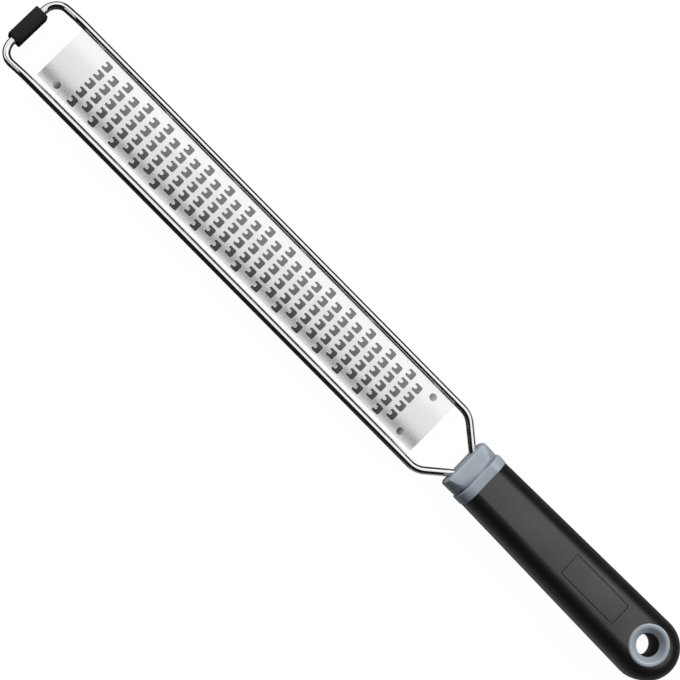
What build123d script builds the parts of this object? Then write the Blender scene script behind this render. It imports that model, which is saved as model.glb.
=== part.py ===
from build123d import *

import os
from math import asin, cos, degrees, radians, sin, tan

# A hand-held rasp zester: a bent wire frame that carries an arched, etched blade plate, with a
# moulded handle on its tails. It lies along X with the tip at -X, the blade face is up (+Z), and
# the foot and the grip rest on Z = 0. All lengths are in millimetres and all angles in degrees.

# Whole tool
frame_width = 31.9          # outside of the two side wires
handle_thickness = 18.0
cut_overrun = 1.0           # how far a cutting shape runs past the face that it cuts

# Wire frame
wire_diameter = 3.0
neck_angle = 39.9           # turn from a side wire towards the handle
neck_bend_radius = 9.0
entry_spread = 11.1         # between the wire centres at the collar's front
entry_bend_radius = 6.0
tail_length = 52.0          # from the collar's front to the end of each wire
tip_dip = 3.8               # how far the tip run lies below the side wires
tip_dip_length = 12.1
tip_bend_radius = 6.0
dip_bend_radius = 15.0

# Blade plate
plate_length = 193.8
plate_thickness = 0.4
plate_setback = 15.5        # from the tip run's centre to the plate
plate_to_neck = 3.4         # straight wire between the plate and the neck bends
crown_radius = 36.0         # middle surface of the arch
shoulder_radius = 2.6       # middle surface of the rolled shoulders
shoulder_angle = 65.0       # slope at the plate's edges
edge_gap = 0.1              # between the plate's edge and the wire
edge_contact_angle = 25.0   # where the edge meets the wire, above its middle
tooling_hole_diameter = 2.9
tooling_hole_inset = 7.75   # from the plate's ends
tooling_hole_spread = 17.6

# Teeth
tooth_pitch = 5.28          # along the plate
tooth_spread = 4.46         # across the plate
tip_margin = 15.8           # from the plate's tip end to the first row
handle_margin = 14.0        # least distance from the last row to the plate's other end
side_margin = 3.6           # least distance from an outer tooth's middle to the plate's edge
opening_length = 3.3
opening_width = 3.35
opening_corner_radius = 0.5
tooth_length = 1.5
tooth_width = 1.4
tooth_thickness = 0.25
tooth_root = 0.2            # part of the tooth that is inside the plate
tooth_tilt = 17.0

# Weld beads
weld_count = 6              # on each side
weld_radius = 0.8
weld_length = 4.0
weld_rounding = 0.3
weld_inset = 0.5            # from the plate's edge towards the middle
weld_drop = 0.8             # below the plate's edge
weld_end_inset = 9.0        # from the plate's ends to the first bead's middle

# Foot
foot_width = 5.8            # along the tool
foot_length = 14.6          # across the tool
foot_height = 8.4
foot_rounding = 0.7
foot_bore_clearance = 0.05

# Collar
nose_length = 6.9
nose_width = 21.3
nose_height = 16.2
nose_side_radius = 6.0
nose_rounding = 0.5
facet_drop = 2.1            # how far the sloped facet falls to the collar's front
flange_length = 4.1
flange_width = 22.2
flange_height = 17.6
flange_side_radius = 6.0
flange_rounding = 0.4
spigot_length = 3.0         # the core's nose, which the collar sits on
spigot_width = 15.0
spigot_height = 10.0
spigot_radius = 2.0
spigot_clearance = 0.1

# Grip, core and hang hole
grip_length = 99.5
grip_front_width = 21.6
grip_end_radius = 12.55
grip_edge_radius = 6.0
grip_skin = 2.6             # soft layer over the core
panel_length = 27.9         # plain rectangle outlined by a groove
panel_width = 10.1
panel_corner_radius = 1.0
panel_inset = 29.6          # from the handle's end to the panel
groove_width = 0.45
groove_depth = 0.3
hang_hole_inset = 14.0      # from the handle's end to the hole's axis
bore_radius = 3.7
bore_land = 2.0             # straight part in the middle of the bore
bore_mouth_radius = 4.45
ring_radius = 8.2
ring_clearance = 0.05
ring_rim = 1.6              # flat rim outside the ring's cone
ring_land = 0.6             # straight part below the ring's cone
ring_rounding = 0.45

# Places along the tool, counted from the tip and then centred
wire_radius = wire_diameter / 2
side_y = frame_width / 2 - wire_radius
entry_y = entry_spread / 2
neck_tangent = neck_bend_radius * tan(radians(neck_angle) / 2)
neck_run = (side_y - entry_y) / tan(radians(neck_angle))
blade_reach = foot_width / 2 + plate_setback + plate_length + plate_to_neck
overall_length = blade_reach + neck_tangent + neck_run + nose_length + flange_length + grip_length
tip_x = -overall_length / 2
tip_wire_x = tip_x + foot_width / 2
plate_tip_x = tip_wire_x + plate_setback
plate_end_x = plate_tip_x + plate_length
neck_corner_x = plate_end_x + plate_to_neck + neck_tangent
collar_x = neck_corner_x + neck_run
flange_x = collar_x + nose_length
grip_x = flange_x + flange_length
end_x = grip_x + grip_length
hang_hole_x = end_x - hang_hole_inset

# Heights
wire_z = handle_thickness / 2
tip_wire_z = wire_z - tip_dip
core_top_z = handle_thickness - grip_skin

# Arch of the blade plate, from the place where its edge meets the wire
edge_reach = wire_radius + edge_gap
edge_y = side_y - edge_reach * cos(radians(edge_contact_angle))
edge_z = wire_z + edge_reach * sin(radians(edge_contact_angle))
shoulder_outer = shoulder_radius + plate_thickness / 2
shoulder_offset = crown_radius - shoulder_radius
crown_angle = degrees(asin((edge_y - shoulder_outer * sin(radians(shoulder_angle))) / shoulder_offset))
shoulder_y = shoulder_offset * sin(radians(crown_angle))
shoulder_z = edge_z - shoulder_outer * cos(radians(shoulder_angle))
crown_z = shoulder_z - shoulder_offset * cos(radians(crown_angle))


def plate_section_arcs(radius_offset):
    """Draw the arch, from the -Y edge to the +Y edge, off its middle surface by the offset."""
    turn = shoulder_angle - crown_angle
    shoulder = shoulder_radius + radius_offset
    CenterArc((shoulder_y, shoulder_z), shoulder, 90 - shoulder_angle, turn)
    CenterArc((0, crown_z), crown_radius + radius_offset, 90 - crown_angle, 2 * crown_angle)
    CenterArc((-shoulder_y, shoulder_z), shoulder, 90 + crown_angle, turn)


def plate_edge_line(side):
    """Draw the plate's cut edge on one side, square to the shoulder."""
    run = sin(radians(shoulder_angle))
    rise = cos(radians(shoulder_angle))
    ends = []
    for offset in (-plate_thickness / 2, plate_thickness / 2):
        reach = shoulder_radius + offset
        ends.append((side * (shoulder_y + reach * run), shoulder_z + reach * rise))
    Line(*ends)


def plate_section():
    """Cut across the plate: the arch with its rolled shoulders."""
    with BuildSketch() as section:
        with BuildLine():
            plate_section_arcs(plate_thickness / 2)
            plate_section_arcs(-plate_thickness / 2)
            plate_edge_line(1)
            plate_edge_line(-1)
        make_face()
    return section.sketch


def tooth_places(teeth):
    """Give the plane of each tooth in a row: on the arch's middle surface, its normal outwards."""
    places = []
    for tooth in range(teeth):
        y = (tooth - (teeth - 1) / 2) * tooth_spread
        slope = asin(y / crown_radius)
        z = crown_z + crown_radius * cos(slope)
        places.append(Plane((0, y, z), x_dir=(1, 0, 0), z_dir=(0, sin(slope), cos(slope))))
    return places


def handle_plan(inset):
    """Plan of the handle, drawn inside its outline by the inset."""
    half_front = grip_front_width / 2 - inset
    with BuildSketch() as plan:
        with Locations((end_x - grip_end_radius, 0)):
            Circle(grip_end_radius - inset)
        with BuildLine():
            Line((grip_x, -half_front), (grip_x, half_front))
        make_hull()
    return plan.sketch


def rim_edges(part):
    """Edges round the top and the bottom of a handle layer, without those of its front."""
    top_and_bottom = part.edges().group_by(Axis.Z)[-1] + part.edges().group_by(Axis.Z)[0]
    return [edge for edge in top_and_bottom if edge.center().X > grip_x + cut_overrun]


# Wire frame: one rod from tail to tail, round the dipped tip run
entry_tangent = entry_bend_radius * tan(radians(neck_angle) / 2)
entry_corner_x = collar_x + entry_tangent * cos(radians(neck_angle))
tail_y = entry_y - entry_tangent * sin(radians(neck_angle))
half_route = [
    (collar_x + tail_length, tail_y, wire_z),
    (entry_corner_x, tail_y, wire_z),
    (neck_corner_x, side_y, wire_z),
    (tip_wire_x + tip_dip_length, side_y, wire_z),
    (tip_wire_x, side_y, tip_wire_z),
]
other_half = [(x, -y, z) for x, y, z in reversed(half_route)]
half_radii = [entry_bend_radius, neck_bend_radius, dip_bend_radius, tip_bend_radius]
with BuildPart() as wire_frame:
    with BuildLine() as route:
        FilletPolyline(*half_route, *other_half, radius=half_radii + half_radii[::-1])
    with BuildSketch(Plane(route.line @ 0, z_dir=route.line % 0)):
        Circle(wire_radius)
    sweep()

# Foot: a rounded block on the tip run
with BuildPart() as tip_foot:
    with Locations((tip_wire_x, 0, 0)):
        Box(foot_width, foot_length, foot_height, align=(Align.CENTER, Align.CENTER, Align.MIN))
    fillet(tip_foot.edges(), foot_rounding)
    with Locations((tip_wire_x, 0, tip_wire_z)):
        Cylinder(
            wire_radius + foot_bore_clearance,
            foot_length + 2 * cut_overrun,
            rotation=(90, 0, 0),
            mode=Mode.SUBTRACT,
        )

# One opening and one tooth, in the plane of the plate's middle surface
with BuildPart() as opening:
    with BuildSketch():
        RectangleRounded(opening_length, opening_width, opening_corner_radius)
    extrude(amount=cut_overrun, both=True)

hinge = Plane((-opening_length / 2, 0, 0)).rotated((0, -tooth_tilt, 0))
with BuildPart() as tooth:
    with BuildSketch(hinge):
        with Locations((tooth_length - tooth_width / 2, 0)):
            Circle(tooth_width / 2)
        with Locations((-tooth_root, 0)):
            Rectangle(
                tooth_length + tooth_root - tooth_width / 2,
                tooth_width,
                align=(Align.MIN, Align.CENTER),
            )
    extrude(amount=tooth_thickness / 2, both=True)

# The plate before it is etched
with BuildPart() as plain_sheet:
    with BuildSketch(Plane.YZ.offset(plate_tip_x)):
        add(plate_section())
    extrude(amount=plate_length)

# Two strips of the plate, each one tooth row long: a wide row and a row with one tooth less
row_count = 1 + int((plate_length - tip_margin - handle_margin) / tooth_pitch)
wide_row_teeth = 1 + 2 * int((edge_y - side_margin) / tooth_spread)
row_strips = []
for teeth in (wide_row_teeth, wide_row_teeth - 1):
    with BuildPart() as strip:
        with BuildSketch(Plane.YZ.offset(-tooth_pitch / 2)):
            add(plate_section())
        extrude(amount=tooth_pitch)
        with Locations(*tooth_places(teeth)):
            add(opening.part, mode=Mode.SUBTRACT)
        with Locations(*tooth_places(teeth)):
            add(tooth.part)
    row_strips.append(strip.part)

# Blade plate: a bare margin at each end, the rows between them, and three tooling holes
first_row_x = plate_tip_x + tip_margin
toothed_x = first_row_x - tooth_pitch / 2
bare_x = toothed_x + row_count * tooth_pitch
with BuildPart() as blade_plate:
    with BuildSketch(Plane.YZ.offset(plate_tip_x)):
        add(plate_section())
    extrude(amount=toothed_x - plate_tip_x)
    with BuildSketch(Plane.YZ.offset(bare_x)):
        add(plate_section())
    extrude(amount=plate_end_x - bare_x)
    with Locations(
        (plate_tip_x + tooling_hole_inset, -tooling_hole_spread / 2, edge_z),
        (plate_end_x - tooling_hole_inset, -tooling_hole_spread / 2, edge_z),
        (plate_end_x - tooling_hole_inset, tooling_hole_spread / 2, edge_z),
    ):
        Cylinder(
            tooling_hole_diameter / 2,
            crown_radius,
            align=(Align.CENTER, Align.CENTER, Align.MIN),
            mode=Mode.SUBTRACT,
        )
    for first, strip_part in enumerate(row_strips):
        rows = range(first, row_count, len(row_strips))
        with Locations(*[(first_row_x + row * tooth_pitch, 0, 0) for row in rows]):
            add(strip_part)

# Weld beads: short rods under the plate's edges, trimmed by the plate and the wire
weld_pitch = (plate_length - 2 * weld_end_inset) / (weld_count - 1)
weld_y = edge_y - weld_inset
weld_z = edge_z - weld_drop
with BuildPart() as plate_welds:
    with Locations(
        *[
            (plate_tip_x + weld_end_inset + number * weld_pitch, side * weld_y, weld_z)
            for number in range(weld_count)
            for side in (-1, 1)
        ]
    ):
        Cylinder(weld_radius, weld_length, rotation=(0, 90, 0))
    fillet(plate_welds.edges().filter_by(GeomType.CIRCLE), weld_rounding)
    add(wire_frame.part, mode=Mode.SUBTRACT)
    add(plain_sheet.part, mode=Mode.SUBTRACT)

# Collar: a nose with sloped facets in front of a flange, round the two wires
with BuildPart() as collar:
    with BuildSketch(Plane.YZ.offset(flange_x)):
        with Locations((0, wire_z)):
            RectangleRounded(flange_width, flange_height, flange_side_radius)
    extrude(amount=flange_length)
    flange_ends = collar.edges().group_by(Axis.X)
    fillet(flange_ends[0] + flange_ends[-1], flange_rounding)
    with BuildSketch(Plane.YZ.offset(collar_x)):
        with Locations((0, wire_z)):
            RectangleRounded(nose_width, nose_height, nose_side_radius)
    extrude(amount=nose_length + flange_length / 2)
    for side in (1, -1):
        surface_z = wire_z + side * nose_height / 2
        outside_z = surface_z + side * cut_overrun
        front_z = surface_z - side * facet_drop
        with BuildSketch(Plane.XZ):
            with BuildLine():
                Polyline(
                    (collar_x - cut_overrun, front_z),
                    (collar_x, front_z),
                    (flange_x, surface_z),
                    (flange_x, outside_z),
                    (collar_x - cut_overrun, outside_z),
                    close=True,
                )
            make_face()
        extrude(amount=nose_width, both=True, mode=Mode.SUBTRACT)
    fillet(collar.edges().group_by(Axis.X)[0], nose_rounding)
    with BuildSketch(Plane.YZ.offset(grip_x - spigot_length)):
        with Locations((0, wire_z)):
            RectangleRounded(
                spigot_width + 2 * spigot_clearance,
                spigot_height + 2 * spigot_clearance,
                spigot_radius + spigot_clearance,
            )
    extrude(amount=spigot_length + cut_overrun, mode=Mode.SUBTRACT)
    add(wire_frame.part, mode=Mode.SUBTRACT)

# Core: the rigid inside of the handle, moulded round the wire's tails, with the bored eye
core_height = handle_thickness - 2 * grip_skin
with BuildPart() as handle_core:
    with BuildSketch(Plane.XY.offset(grip_skin)):
        add(handle_plan(grip_skin))
    extrude(amount=core_height)
    fillet(rim_edges(handle_core), grip_edge_radius - grip_skin)
    with BuildSketch(Plane.YZ.offset(grip_x - spigot_length)):
        with Locations((0, wire_z)):
            RectangleRounded(spigot_width, spigot_height, spigot_radius)
    extrude(amount=spigot_length + cut_overrun)
    add(wire_frame.part, mode=Mode.SUBTRACT)
    with BuildSketch(Plane.XZ):
        with BuildLine():
            Polyline(
                (hang_hole_x, grip_skin),
                (hang_hole_x + bore_mouth_radius, grip_skin),
                (hang_hole_x + bore_radius, wire_z - bore_land / 2),
                (hang_hole_x + bore_radius, wire_z + bore_land / 2),
                (hang_hole_x + bore_mouth_radius, core_top_z),
                (hang_hole_x, core_top_z),
                close=True,
            )
        make_face()
    revolve(axis=Axis((hang_hole_x, 0, 0), (0, 0, 1)), mode=Mode.SUBTRACT)

# Soft grip: the skin over the core, open at the front and at the two ring seats
panel_x = end_x - panel_inset - panel_length / 2
with BuildPart() as soft_grip:
    add(handle_plan(0))
    extrude(amount=handle_thickness)
    fillet(rim_edges(soft_grip), grip_edge_radius)
    with BuildSketch(Plane.XY.offset(grip_skin)):
        add(handle_plan(grip_skin))
    core_room = extrude(amount=core_height, mode=Mode.PRIVATE)
    core_room = core_room.fillet(grip_edge_radius - grip_skin, rim_edges(core_room))
    add(core_room, mode=Mode.SUBTRACT)
    with Locations((hang_hole_x, 0, 0)):
        Cylinder(
            ring_radius + ring_clearance,
            handle_thickness,
            align=(Align.CENTER, Align.CENTER, Align.MIN),
            mode=Mode.SUBTRACT,
        )
    with BuildSketch(Plane.XY.offset(handle_thickness)):
        with Locations((panel_x, 0)):
            RectangleRounded(panel_length, panel_width, panel_corner_radius)
            RectangleRounded(
                panel_length - 2 * groove_width,
                panel_width - 2 * groove_width,
                panel_corner_radius - groove_width,
                mode=Mode.SUBTRACT,
            )
    extrude(amount=-groove_depth, mode=Mode.SUBTRACT)

# Hang rings: countersunk bezels that sit on the core, one in each end of the hole
with BuildPart() as hang_ring_top:
    with BuildSketch(Plane.XZ):
        with BuildLine():
            Polyline(
                (hang_hole_x + bore_mouth_radius, core_top_z),
                (hang_hole_x + ring_radius, core_top_z),
                (hang_hole_x + ring_radius, handle_thickness),
                (hang_hole_x + ring_radius - ring_rim, handle_thickness),
                (hang_hole_x + bore_mouth_radius, core_top_z + ring_land),
                close=True,
            )
        make_face()
    revolve(axis=Axis((hang_hole_x, 0, 0), (0, 0, 1)))
    fillet(hang_ring_top.edges().group_by(Axis.Z)[-1], ring_rounding)

with BuildPart() as hang_ring_bottom:
    mirror(hang_ring_top.part, about=Plane.XY.offset(wire_z))

pieces = {
    "wire_frame": wire_frame,
    "blade_plate": blade_plate,
    "plate_welds": plate_welds,
    "tip_foot": tip_foot,
    "collar": collar,
    "handle_core": handle_core,
    "soft_grip": soft_grip,
    "hang_ring_top": hang_ring_top,
    "hang_ring_bottom": hang_ring_bottom,
}
os.makedirs("parts", exist_ok=True)
for name, piece in pieces.items():
    piece.part.label = name
    export_step(piece.part, f"parts/{name}.step")
print(f"overall length {overall_length:.2f}, {row_count} rows of teeth, {wide_row_teeth} in a wide row")
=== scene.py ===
# %% [markdown]
# # A rasp zester, dressed in Blender
# The tool lies along X with its tip at -X and its toothed face up. The foot and the grip rest on
# the floor at Z = 0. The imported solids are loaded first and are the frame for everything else:
# each piece made below takes its place from the same lengths, so nothing is fitted by eye later.

import bmesh
import bpy
import numpy as np
from mathutils import Matrix


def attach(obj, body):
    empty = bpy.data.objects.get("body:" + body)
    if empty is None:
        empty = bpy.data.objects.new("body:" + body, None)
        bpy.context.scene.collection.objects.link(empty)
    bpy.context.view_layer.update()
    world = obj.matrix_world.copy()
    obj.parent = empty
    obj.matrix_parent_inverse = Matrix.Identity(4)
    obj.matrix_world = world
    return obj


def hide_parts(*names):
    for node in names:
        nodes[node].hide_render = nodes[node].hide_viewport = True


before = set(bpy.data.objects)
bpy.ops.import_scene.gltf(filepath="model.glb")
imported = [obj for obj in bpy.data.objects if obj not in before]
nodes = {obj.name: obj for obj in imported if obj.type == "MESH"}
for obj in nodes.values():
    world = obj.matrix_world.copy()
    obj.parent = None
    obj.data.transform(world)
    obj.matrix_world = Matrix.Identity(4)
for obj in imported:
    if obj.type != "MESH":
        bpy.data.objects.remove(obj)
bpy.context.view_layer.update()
MM = 0.001
print("nodes of the frame:", ", ".join(sorted(nodes)))

# %% [markdown]
# ## The camera
# The photograph was taken from nearly above, with a long lens. Its place was worked out from the
# outline of the wire loop and of the grip, so the same wires and openings fall on the same
# pixels. The image's right side is along X + Y and its lower side is along X - Y, which lays the
# tool across the frame from the upper left to the lower right.

# %% Camera
CAMERA_PLACE = np.array([-72.7, -157.9, 902.8])
CAMERA_AIM = np.array([-4.9, -0.35, 9.0])
CAMERA_ROLL = -0.0049
LENS = 130.45
SENSOR = 36.0
CLIP_END = 100.0


def unit(vectors):
    """Vectors scaled to length one, along the last axis."""
    vectors = np.asarray(vectors, float)
    return vectors / np.linalg.norm(vectors, axis=-1, keepdims=True)


def aim_camera():
    """Make the camera. Its right side is X + Y made square to the line of sight, then rolled."""
    sight = unit(CAMERA_AIM - CAMERA_PLACE)
    right = np.array([1.0, 1.0, 0.0])
    right = unit(right - sight * (right @ sight))
    down = np.cross(sight, right)
    turn, lean = np.cos(CAMERA_ROLL), np.sin(CAMERA_ROLL)
    right, down = turn * right + lean * down, turn * down - lean * right
    data = bpy.data.cameras.new("camera")
    data.lens = LENS
    data.sensor_width = SENSOR
    data.clip_end = CLIP_END
    camera = bpy.data.objects.new("camera", data)
    bpy.context.scene.collection.objects.link(camera)
    pose = np.eye(4)
    pose[:3, :3] = np.stack([right, -down, -sight], axis=1)
    pose[:3, 3] = CAMERA_PLACE * MM
    camera.matrix_world = Matrix(pose.tolist())
    bpy.context.scene.camera = camera
    print("camera", round(float(CAMERA_PLACE[2])), "mm above the floor")


aim_camera()

# %% [markdown]
# ## Surfaces from numbers
# Every new piece is a grid of points worked out with numpy, or a profile carried along a path.
# The grid is turned into quads, points that lie on each other are merged, which closes seams and
# poles, and the faces of a closed shell are turned outwards. Values such as a distance along a
# wire can be kept on the points as attributes, and the materials read them.


# %% Grid helpers
def stacked(*coordinates):
    """Points from their x, y and z, each of them an array or one number for all."""
    return np.stack(np.broadcast_arrays(*coordinates), axis=-1)


def full_turn(steps):
    """Angles evenly round a circle."""
    return np.linspace(0, 2 * np.pi, steps, endpoint=False)


def grid_quads(rows, columns, close_rows=False, close_columns=False):
    """Corner numbers of a grid's quads, where point (i, j) has the number i * columns + j.

    A closed direction goes on from its last line to its first.
    """
    i = np.arange(rows if close_rows else rows - 1)[:, None]
    j = np.arange(columns if close_columns else columns - 1)[None, :]
    line, next_line, j_next = i * columns, (i + 1) % rows * columns, (j + 1) % columns
    return stacked(line + j, next_line + j, next_line + j_next, line + j_next).reshape(-1, 4)


def shell(rings, close_rows=False):
    """Points and quads of closed rings that follow each other, each ring's points as (x, y, z)."""
    rings = np.asarray(rings)
    rows, columns = rings.shape[:2]
    return rings.reshape(-1, 3), grid_quads(rows, columns, close_rows, close_columns=True)


def join_parts(parts):
    """Join parts. A part is its points, its quads, and any arrays with one value for each point."""
    offsets = np.cumsum([0] + [len(part[0]) for part in parts[:-1]])
    joined = [np.concatenate(arrays) for arrays in zip(*parts)]
    joined[1] = np.concatenate([part[1] + offset for part, offset in zip(parts, offsets)])
    return joined


# %% Mesh helpers
MERGE_DISTANCE = 0.0005


def make_mesh(name, points, faces, attributes=(), closed=True):
    """A mesh from points in millimetres. Doubles are merged and loose points removed."""
    mesh = bpy.data.meshes.new(name)
    mesh.from_pydata((np.asarray(points) * MM).tolist(), [], np.asarray(faces).tolist())
    for label, values in dict(attributes).items():
        values = np.asarray(values, np.float32)
        kind, field = ("FLOAT", "value") if values.ndim == 1 else ("FLOAT_VECTOR", "vector")
        mesh.attributes.new(label, kind, "POINT").data.foreach_set(field, values.ravel())
    shape = bmesh.new()
    shape.from_mesh(mesh)
    bmesh.ops.remove_doubles(shape, verts=shape.verts, dist=MERGE_DISTANCE * MM)
    loose = [point for point in shape.verts if not point.link_faces]
    bmesh.ops.delete(shape, geom=loose, context="VERTS")
    bmesh.ops.recalc_face_normals(shape, faces=shape.faces)
    shape.faces.ensure_lookup_table()
    if not closed and shape.faces[0].normal.z < 0:
        bmesh.ops.reverse_faces(shape, faces=shape.faces)
    shape.to_mesh(mesh)
    shape.free()
    mesh.shade_smooth()
    return mesh


def add_piece(name, mesh, material, slot, *replaced):
    """Put a mesh in the scene as a piece that rides on the one body and stands for CAD nodes."""
    piece = bpy.data.objects.new(name, mesh)
    bpy.context.scene.collection.objects.link(piece)
    mesh.materials.append(material)
    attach(piece, "root")
    if replaced:
        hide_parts(*replaced)
    print(f"{name}: {len(mesh.vertices)} points, {len(mesh.polygons)} faces")
    return piece


# %% [markdown]
# ## Soft edges
# Nothing made has a knife edge. The large roundings are in the surfaces below, and the small ones
# come from a Bevel modifier, which keeps each surface's own points few. Its hardened normals let
# the flat faces stay flat right up to the rounding, which a mirror-like face needs.


# %% Edge helper
def soften_edges(piece, width, angle, segments=2):
    """Round the edges sharper than an angle in degrees. The width is in millimetres."""
    bevel = piece.modifiers.new("soft edges", "BEVEL")
    bevel.width = width * MM
    bevel.segments = segments
    bevel.angle_limit = np.radians(angle)
    bevel.harden_normals = True
    return piece


# %% [markdown]
# ## Shader helpers
# A material here is a Principled BSDF whose colour, roughness and bump come from noise at the
# real scale of the finish. One helper adds a node and wires it, so that each material below
# reads as a short list. Effects that several materials use are node groups.


# %% Node helpers
def add_node(tree, kind, inputs=(), **settings):
    """Add a node. inputs maps a socket's name or number to a value or to another node's socket."""
    node = tree.nodes.new(kind)
    for setting, value in settings.items():
        setattr(node, setting, value)
    for socket, value in dict(inputs).items():
        if isinstance(value, bpy.types.NodeSocket):
            tree.links.new(value, node.inputs[socket])
        else:
            node.inputs[socket].default_value = value
    return node


def math_node(tree, operation, first, second=0.0, third=0.0):
    """One Math node. Returns its output."""
    return add_node(
        tree, "ShaderNodeMath", {0: first, 1: second, 2: third}, operation=operation
    ).outputs[0]


def mix_colours(tree, share, first, second):
    """Mix two colours by a share. A colour is red, green and blue, or a socket."""
    first, second = (
        colour if isinstance(colour, bpy.types.NodeSocket) else (*colour, 1.0)
        for colour in (first, second)
    )
    node = add_node(tree, "ShaderNodeMix", {0: share, 6: first, 7: second}, data_type="RGBA")
    return node.outputs[2]


def noise(tree, place, scale, detail, roughness=0.5):
    """A noise from 0 to 1, with about one patch for each 1 / scale of its coordinates."""
    return add_node(
        tree,
        "ShaderNodeTexNoise",
        {"Vector": place, "Scale": scale, "Detail": detail, "Roughness": roughness},
    ).outputs["Fac"]


def feed(tree, node, **outputs):
    """Link outputs to a node's named inputs. An underscore stands for a space in a name."""
    for socket, output in outputs.items():
        tree.links.new(output, node.inputs[socket.replace("_", " ")])


# %% Material and group helpers
def new_material(name, **constants):
    """A material with a Principled BSDF, whose named sockets get plain values."""
    material = bpy.data.materials.new(name)
    material.use_nodes = True
    tree = material.node_tree
    shader = tree.nodes["Principled BSDF"]
    for socket, value in constants.items():
        shader.inputs[socket.replace("_", " ")].default_value = value
    return material, tree, shader


def empty_tree(block):
    """Turn on the nodes of a material or a world and take all of them out."""
    block.use_nodes = True
    block.node_tree.nodes.clear()
    return block.node_tree


def new_group(name, inputs, outputs):
    """An empty shader node group with float or vector inputs and outputs."""
    group = bpy.data.node_groups.new(name, "ShaderNodeTree")
    for way, sockets in (("INPUT", inputs), ("OUTPUT", outputs)):
        for label, kind in sockets.items():
            group.interface.new_socket(label, in_out=way, socket_type=f"NodeSocket{kind}")
    return group, group.nodes.new("NodeGroupInput"), group.nodes.new("NodeGroupOutput")


def use_group(tree, group, inputs):
    """Place a node group in a material."""
    return add_node(tree, "ShaderNodeGroup", inputs, node_tree=group)


# %% Bump and coordinate helpers
def bump(tree, height, strength, distance):
    """A Bump node for a height from 0 to 1. The distance is in metres."""
    return add_node(
        tree, "ShaderNodeBump", {"Height": height, "Strength": strength, "Distance": distance}
    ).outputs["Normal"]


def object_place(tree):
    """Object coordinates: metres in the tool's own frame."""
    return tree.nodes.new("ShaderNodeTexCoord").outputs["Object"]


def stretch(tree, place, scale):
    """Scale coordinates along each axis, which draws a noise out into lines."""
    return add_node(tree, "ShaderNodeMapping", {"Vector": place, "Scale": scale}).outputs[0]


# %% Shared effects
COARSE_SHARE = 0.3
SMUDGE_SCALE = 60.0


def build_grain_group():
    """Fine grain: a coarse and a fine noise added up, as spark-eroded moulds leave on plastic."""
    group, start, end = new_group(
        "fine grain",
        {"Place": "Vector", "Scale": "Float", "Spread": "Float"},
        {"Height": "Float", "Patches": "Float"},
    )
    place, scale, spread = (start.outputs[label] for label in ("Place", "Scale", "Spread"))
    fine = noise(group, place, scale, 3.0)
    coarse = noise(group, place, math_node(group, "MULTIPLY", scale, spread), 2.0)
    height = math_node(group, "MULTIPLY_ADD", coarse, COARSE_SHARE, fine)
    feed(group, end, Height=height, Patches=coarse)
    return group


def build_draw_lines_group():
    """Lines that drawing, rolling or brushing leaves in metal: noise in stretched coordinates."""
    group, start, end = new_group(
        "draw lines",
        {"Stretched Place": "Vector", "Scale": "Float"},
        {"Lines": "Float", "Scratches": "Float"},
    )
    lines = noise(group, start.outputs["Stretched Place"], start.outputs["Scale"], 4.0, 0.6)
    feed(group, end, Lines=lines, Scratches=math_node(group, "POWER", lines, 4.0))
    return group


def build_smudge_group():
    """Handling marks: soft patches, centimetres across, that change the roughness a little."""
    group, start, end = new_group(
        "handling marks",
        {"Place": "Vector", "Roughness": "Float", "Amount": "Float"},
        {"Roughness": "Float"},
    )
    patches = noise(group, start.outputs["Place"], SMUDGE_SCALE, 3.0)
    centred = math_node(group, "SUBTRACT", patches, 0.5)
    change = math_node(group, "MULTIPLY", centred, start.outputs["Amount"])
    feed(group, end, Roughness=math_node(group, "ADD", change, start.outputs["Roughness"]))
    return group


GRAIN = build_grain_group()
DRAW_LINES = build_draw_lines_group()
SMUDGES = build_smudge_group()
print("shared effects:", ", ".join(group.name for group in bpy.data.node_groups))

# %% [markdown]
# ## Polished rod
# The loop is bright drawn stainless rod. Polishing leaves hair-fine lines along the rod, so the
# noise runs in coordinates that go round the rod and along it, kept on the points as an
# attribute: they bend with the rod, where Object coordinates would cut across its corners.


# %% Rod material
ROD_LINES_SCALE = 9.0
HAIRLINE_DEPTH = 0.00001


def make_rod_material():
    """Hair-fine lines tint the steel a little, and the deepest of them dull it."""
    material, tree, shader = new_material("polished rod", Metallic=1.0)
    place = add_node(tree, "ShaderNodeAttribute", attribute_name="along_rod").outputs["Vector"]
    lines = use_group(tree, DRAW_LINES, {"Stretched Place": place, "Scale": ROD_LINES_SCALE})
    smudge = use_group(
        tree, SMUDGES, {"Place": object_place(tree), "Roughness": 0.055, "Amount": 0.04}
    )
    rough = math_node(tree, "MULTIPLY_ADD", lines.outputs["Scratches"], 0.12, smudge.outputs[0])
    colour = mix_colours(tree, lines.outputs["Lines"], (0.80, 0.80, 0.81), (0.88, 0.88, 0.89))
    relief = bump(tree, lines.outputs["Lines"], 0.06, HAIRLINE_DEPTH)
    feed(tree, shader, Base_Color=colour, Roughness=rough, Normal=relief)
    return material


ROD = make_rod_material()
print("material:", ROD.name)

# %% [markdown]
# ## Wire frame
# On the real tool one 3 mm rod is bent into a long loop. It could be a curve with a bevel, but a
# tube worked out here has even rings and exact corner arcs. The route is a line through the
# corner points, with each corner rounded by an arc, and the tip run dips towards the floor.

# %% Lengths of the wire frame
WIRE_RADIUS = 1.5
WIRE_Z = 9.0
SIDE_Y = 14.45
TAIL_END_X = 111.505
ENTRY_CORNER_X = 61.176
TAIL_Y = 4.153
NECK_CORNER_X = 48.863
TIP_WIRE_X = -167.105
TIP_DIP_LENGTH = 12.1
TIP_WIRE_Z = 5.2
BEND_RADII = (6.0, 9.0, 15.0, 6.0)
ARC_STEP = np.radians(4.0)
ROD_SIDES = 40
DRAWN_OUT = 0.02
print(f"wire loop: {2 * (SIDE_Y + WIRE_RADIUS):.1f} mm wide, of {2 * WIRE_RADIUS:.0f} mm rod")


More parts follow.
